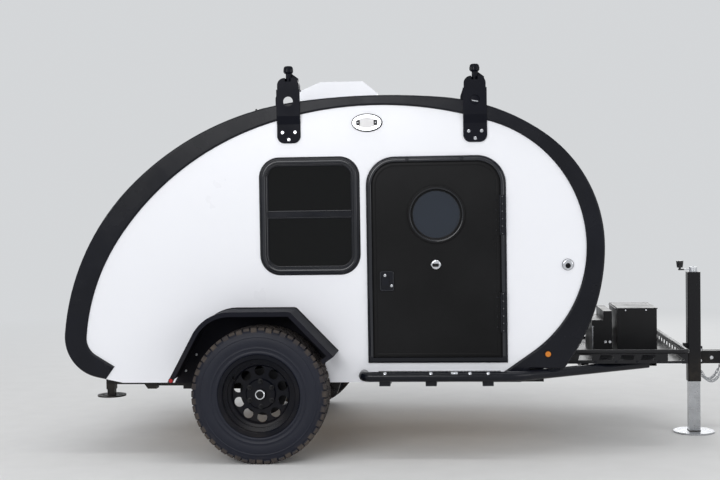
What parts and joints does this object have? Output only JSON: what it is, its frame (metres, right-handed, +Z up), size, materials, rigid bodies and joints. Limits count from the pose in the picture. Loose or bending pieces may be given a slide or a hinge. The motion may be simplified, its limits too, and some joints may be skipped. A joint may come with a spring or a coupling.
{
  "type": "teardrop trailer",
  "caption": "Teardrop camping trailer with a sleeping cabin, hinged side doors, rear galley hatch, turning wheels, tongue tray and jack.",
  "frame": {"origin": "on the ground under the middle of the whole trailer's box", "axes": "+X forward to the coupler, +Y to the trailer's left, +Z up"},
  "size_m": [4.126, 2.11, 2.166],
  "materials": {
    "white_panel": "satin gelcoat panel",
    "border_black": "satin black edging",
    "frame_black": "satin black powder coat",
    "door_black": "gloss black with a blue cast",
    "fender_black": "semi-gloss black powder coat",
    "chassis_black": "satin black paint",
    "tyre_rubber": "matt, dusty at the shoulder",
    "rim_black": "semi-gloss black",
    "hub_steel": "dark paint with bare edges",
    "bright_metal": "polished",
    "window_tint": "dark tinted",
    "porthole_pane": "tinted",
    "white_lens": "frosted",
    "amber_lens": "clear amber",
    "red_lens": "clear red",
    "birch_ply": "clear satin lacquer",
    "mattress_cloth": "woven cover",
    "vent_white": "satin",
    "tray_black": "satin black powder coat",
    "box_black": "satin black"
  },
  "bodies": {
    "trailer": {"amber_markers": "amber_lens", "battery_box": "box_black", "bulkhead": "birch_ply", "chrome_lamps": "bright_metal", "coupler": "chassis_black", "crossmembers": "chassis_black", "door_frames": "frame_black", "door_hinges": "frame_black", "edge_borders": "border_black", "fenders": "fender_black", "floor": "birch_ply", "galley_cabinet": "birch_ply", "hatch_hinge": "frame_black", "jack_crank": "bright_metal", "jack_tube": "chassis_black", "mattress": "mattress_cloth", "plate_holder": "frame_black", "porch_lenses": "white_lens", "rack_mounts": "frame_black", "rear_panel": "white_panel", "red_lamps": "red_lens", "rock_sliders": "frame_black", "roof_shell": "white_panel", "side_rails": "chassis_black", "side_wall_left": "white_panel", "side_wall_right": "white_panel", "stabilizer_tubes": "chassis_black", "step_plates": "tray_black", "suspension_rails": "chassis_black", "tongue_beam": "chassis_black", "tongue_box": "box_black", "tongue_outriggers": "chassis_black", "tongue_tray": "tray_black", "trailing_arms": "chassis_black", "vent_base": "vent_white", "window_frames": "frame_black", "window_glass": "window_tint"},
    "wheel_right": {"tyre_right": "tyre_rubber", "rim_right": "rim_black", "hub_right": "hub_steel"},
    "wheel_left": {"tyre_left": "tyre_rubber", "rim_left": "rim_black", "hub_left": "hub_steel"},
    "door_right": {"door_right": "door_black", "door_glass_right": "porthole_pane", "door_handle_right": "frame_black", "door_knob_right": "bright_metal"},
    "door_left": {"door_left": "door_black", "door_glass_left": "porthole_pane", "door_handle_left": "frame_black", "door_knob_left": "bright_metal"},
    "hatch": {"galley_hatch": "white_panel", "hatch_handle": "frame_black"},
    "box_lid": {"tongue_box_lid": "box_black"},
    "roof_vent_lid": {"vent_lid": "vent_white"},
    "jack_leg": {"jack_leg": "bright_metal"},
    "stabilizer_right": {"stabilizer_leg_right": "chassis_black"},
    "stabilizer_left": {"stabilizer_leg_left": "chassis_black"}
  },
  "joints": [
    {"name": "wheel_right_spin", "type": "hinge", "parent": "trailer", "child": "wheel_right", "pos_m": [-0.905, -0.9375, 0.372], "axis": [0, 1, 0], "continuous": true},
    {"name": "wheel_left_spin", "type": "hinge", "parent": "trailer", "child": "wheel_left", "pos_m": [-0.905, 0.9375, 0.372], "axis": [0, 1, 0], "continuous": true},
    {"name": "door_right_hinge", "type": "hinge", "parent": "trailer", "child": "door_right", "pos_m": [0.407, -0.819, 1.06], "axis": [0, 0, 1], "range_deg": [0, 110]},
    {"name": "door_left_hinge", "type": "hinge", "parent": "trailer", "child": "door_left", "pos_m": [0.407, 0.819, 1.06], "axis": [0, 0, -1], "range_deg": [0, 110]},
    {"name": "hatch_hinge", "type": "hinge", "parent": "trailer", "child": "hatch", "pos_m": [-0.94, 0, 1.93153], "axis": [0, 1, 0], "range_deg": [0, 80]},
    {"name": "box_lid_hinge", "type": "hinge", "parent": "trailer", "child": "box_lid", "pos_m": [1.1025, 0, 0.75], "axis": [0, -1, 0], "range_deg": [0, 100]},
    {"name": "vent_lid_hinge", "type": "hinge", "parent": "trailer", "child": "roof_vent_lid", "pos_m": [-0.29, 0, 2.0336], "axis": [0, 1, 0], "range_deg": [0, 50]},
    {"name": "jack_slide", "type": "slide", "parent": "trailer", "child": "jack_leg", "axis": [0, 0, 1], "range_m": [0, 0.22]},
    {"name": "stabilizer_right_slide", "type": "slide", "parent": "trailer", "child": "stabilizer_right", "axis": [0, 0, -1], "range_m": [0, 0.3]},
    {"name": "stabilizer_left_slide", "type": "slide", "parent": "trailer", "child": "stabilizer_left", "axis": [0, 0, -1], "range_m": [0, 0.3]}
  ]
}
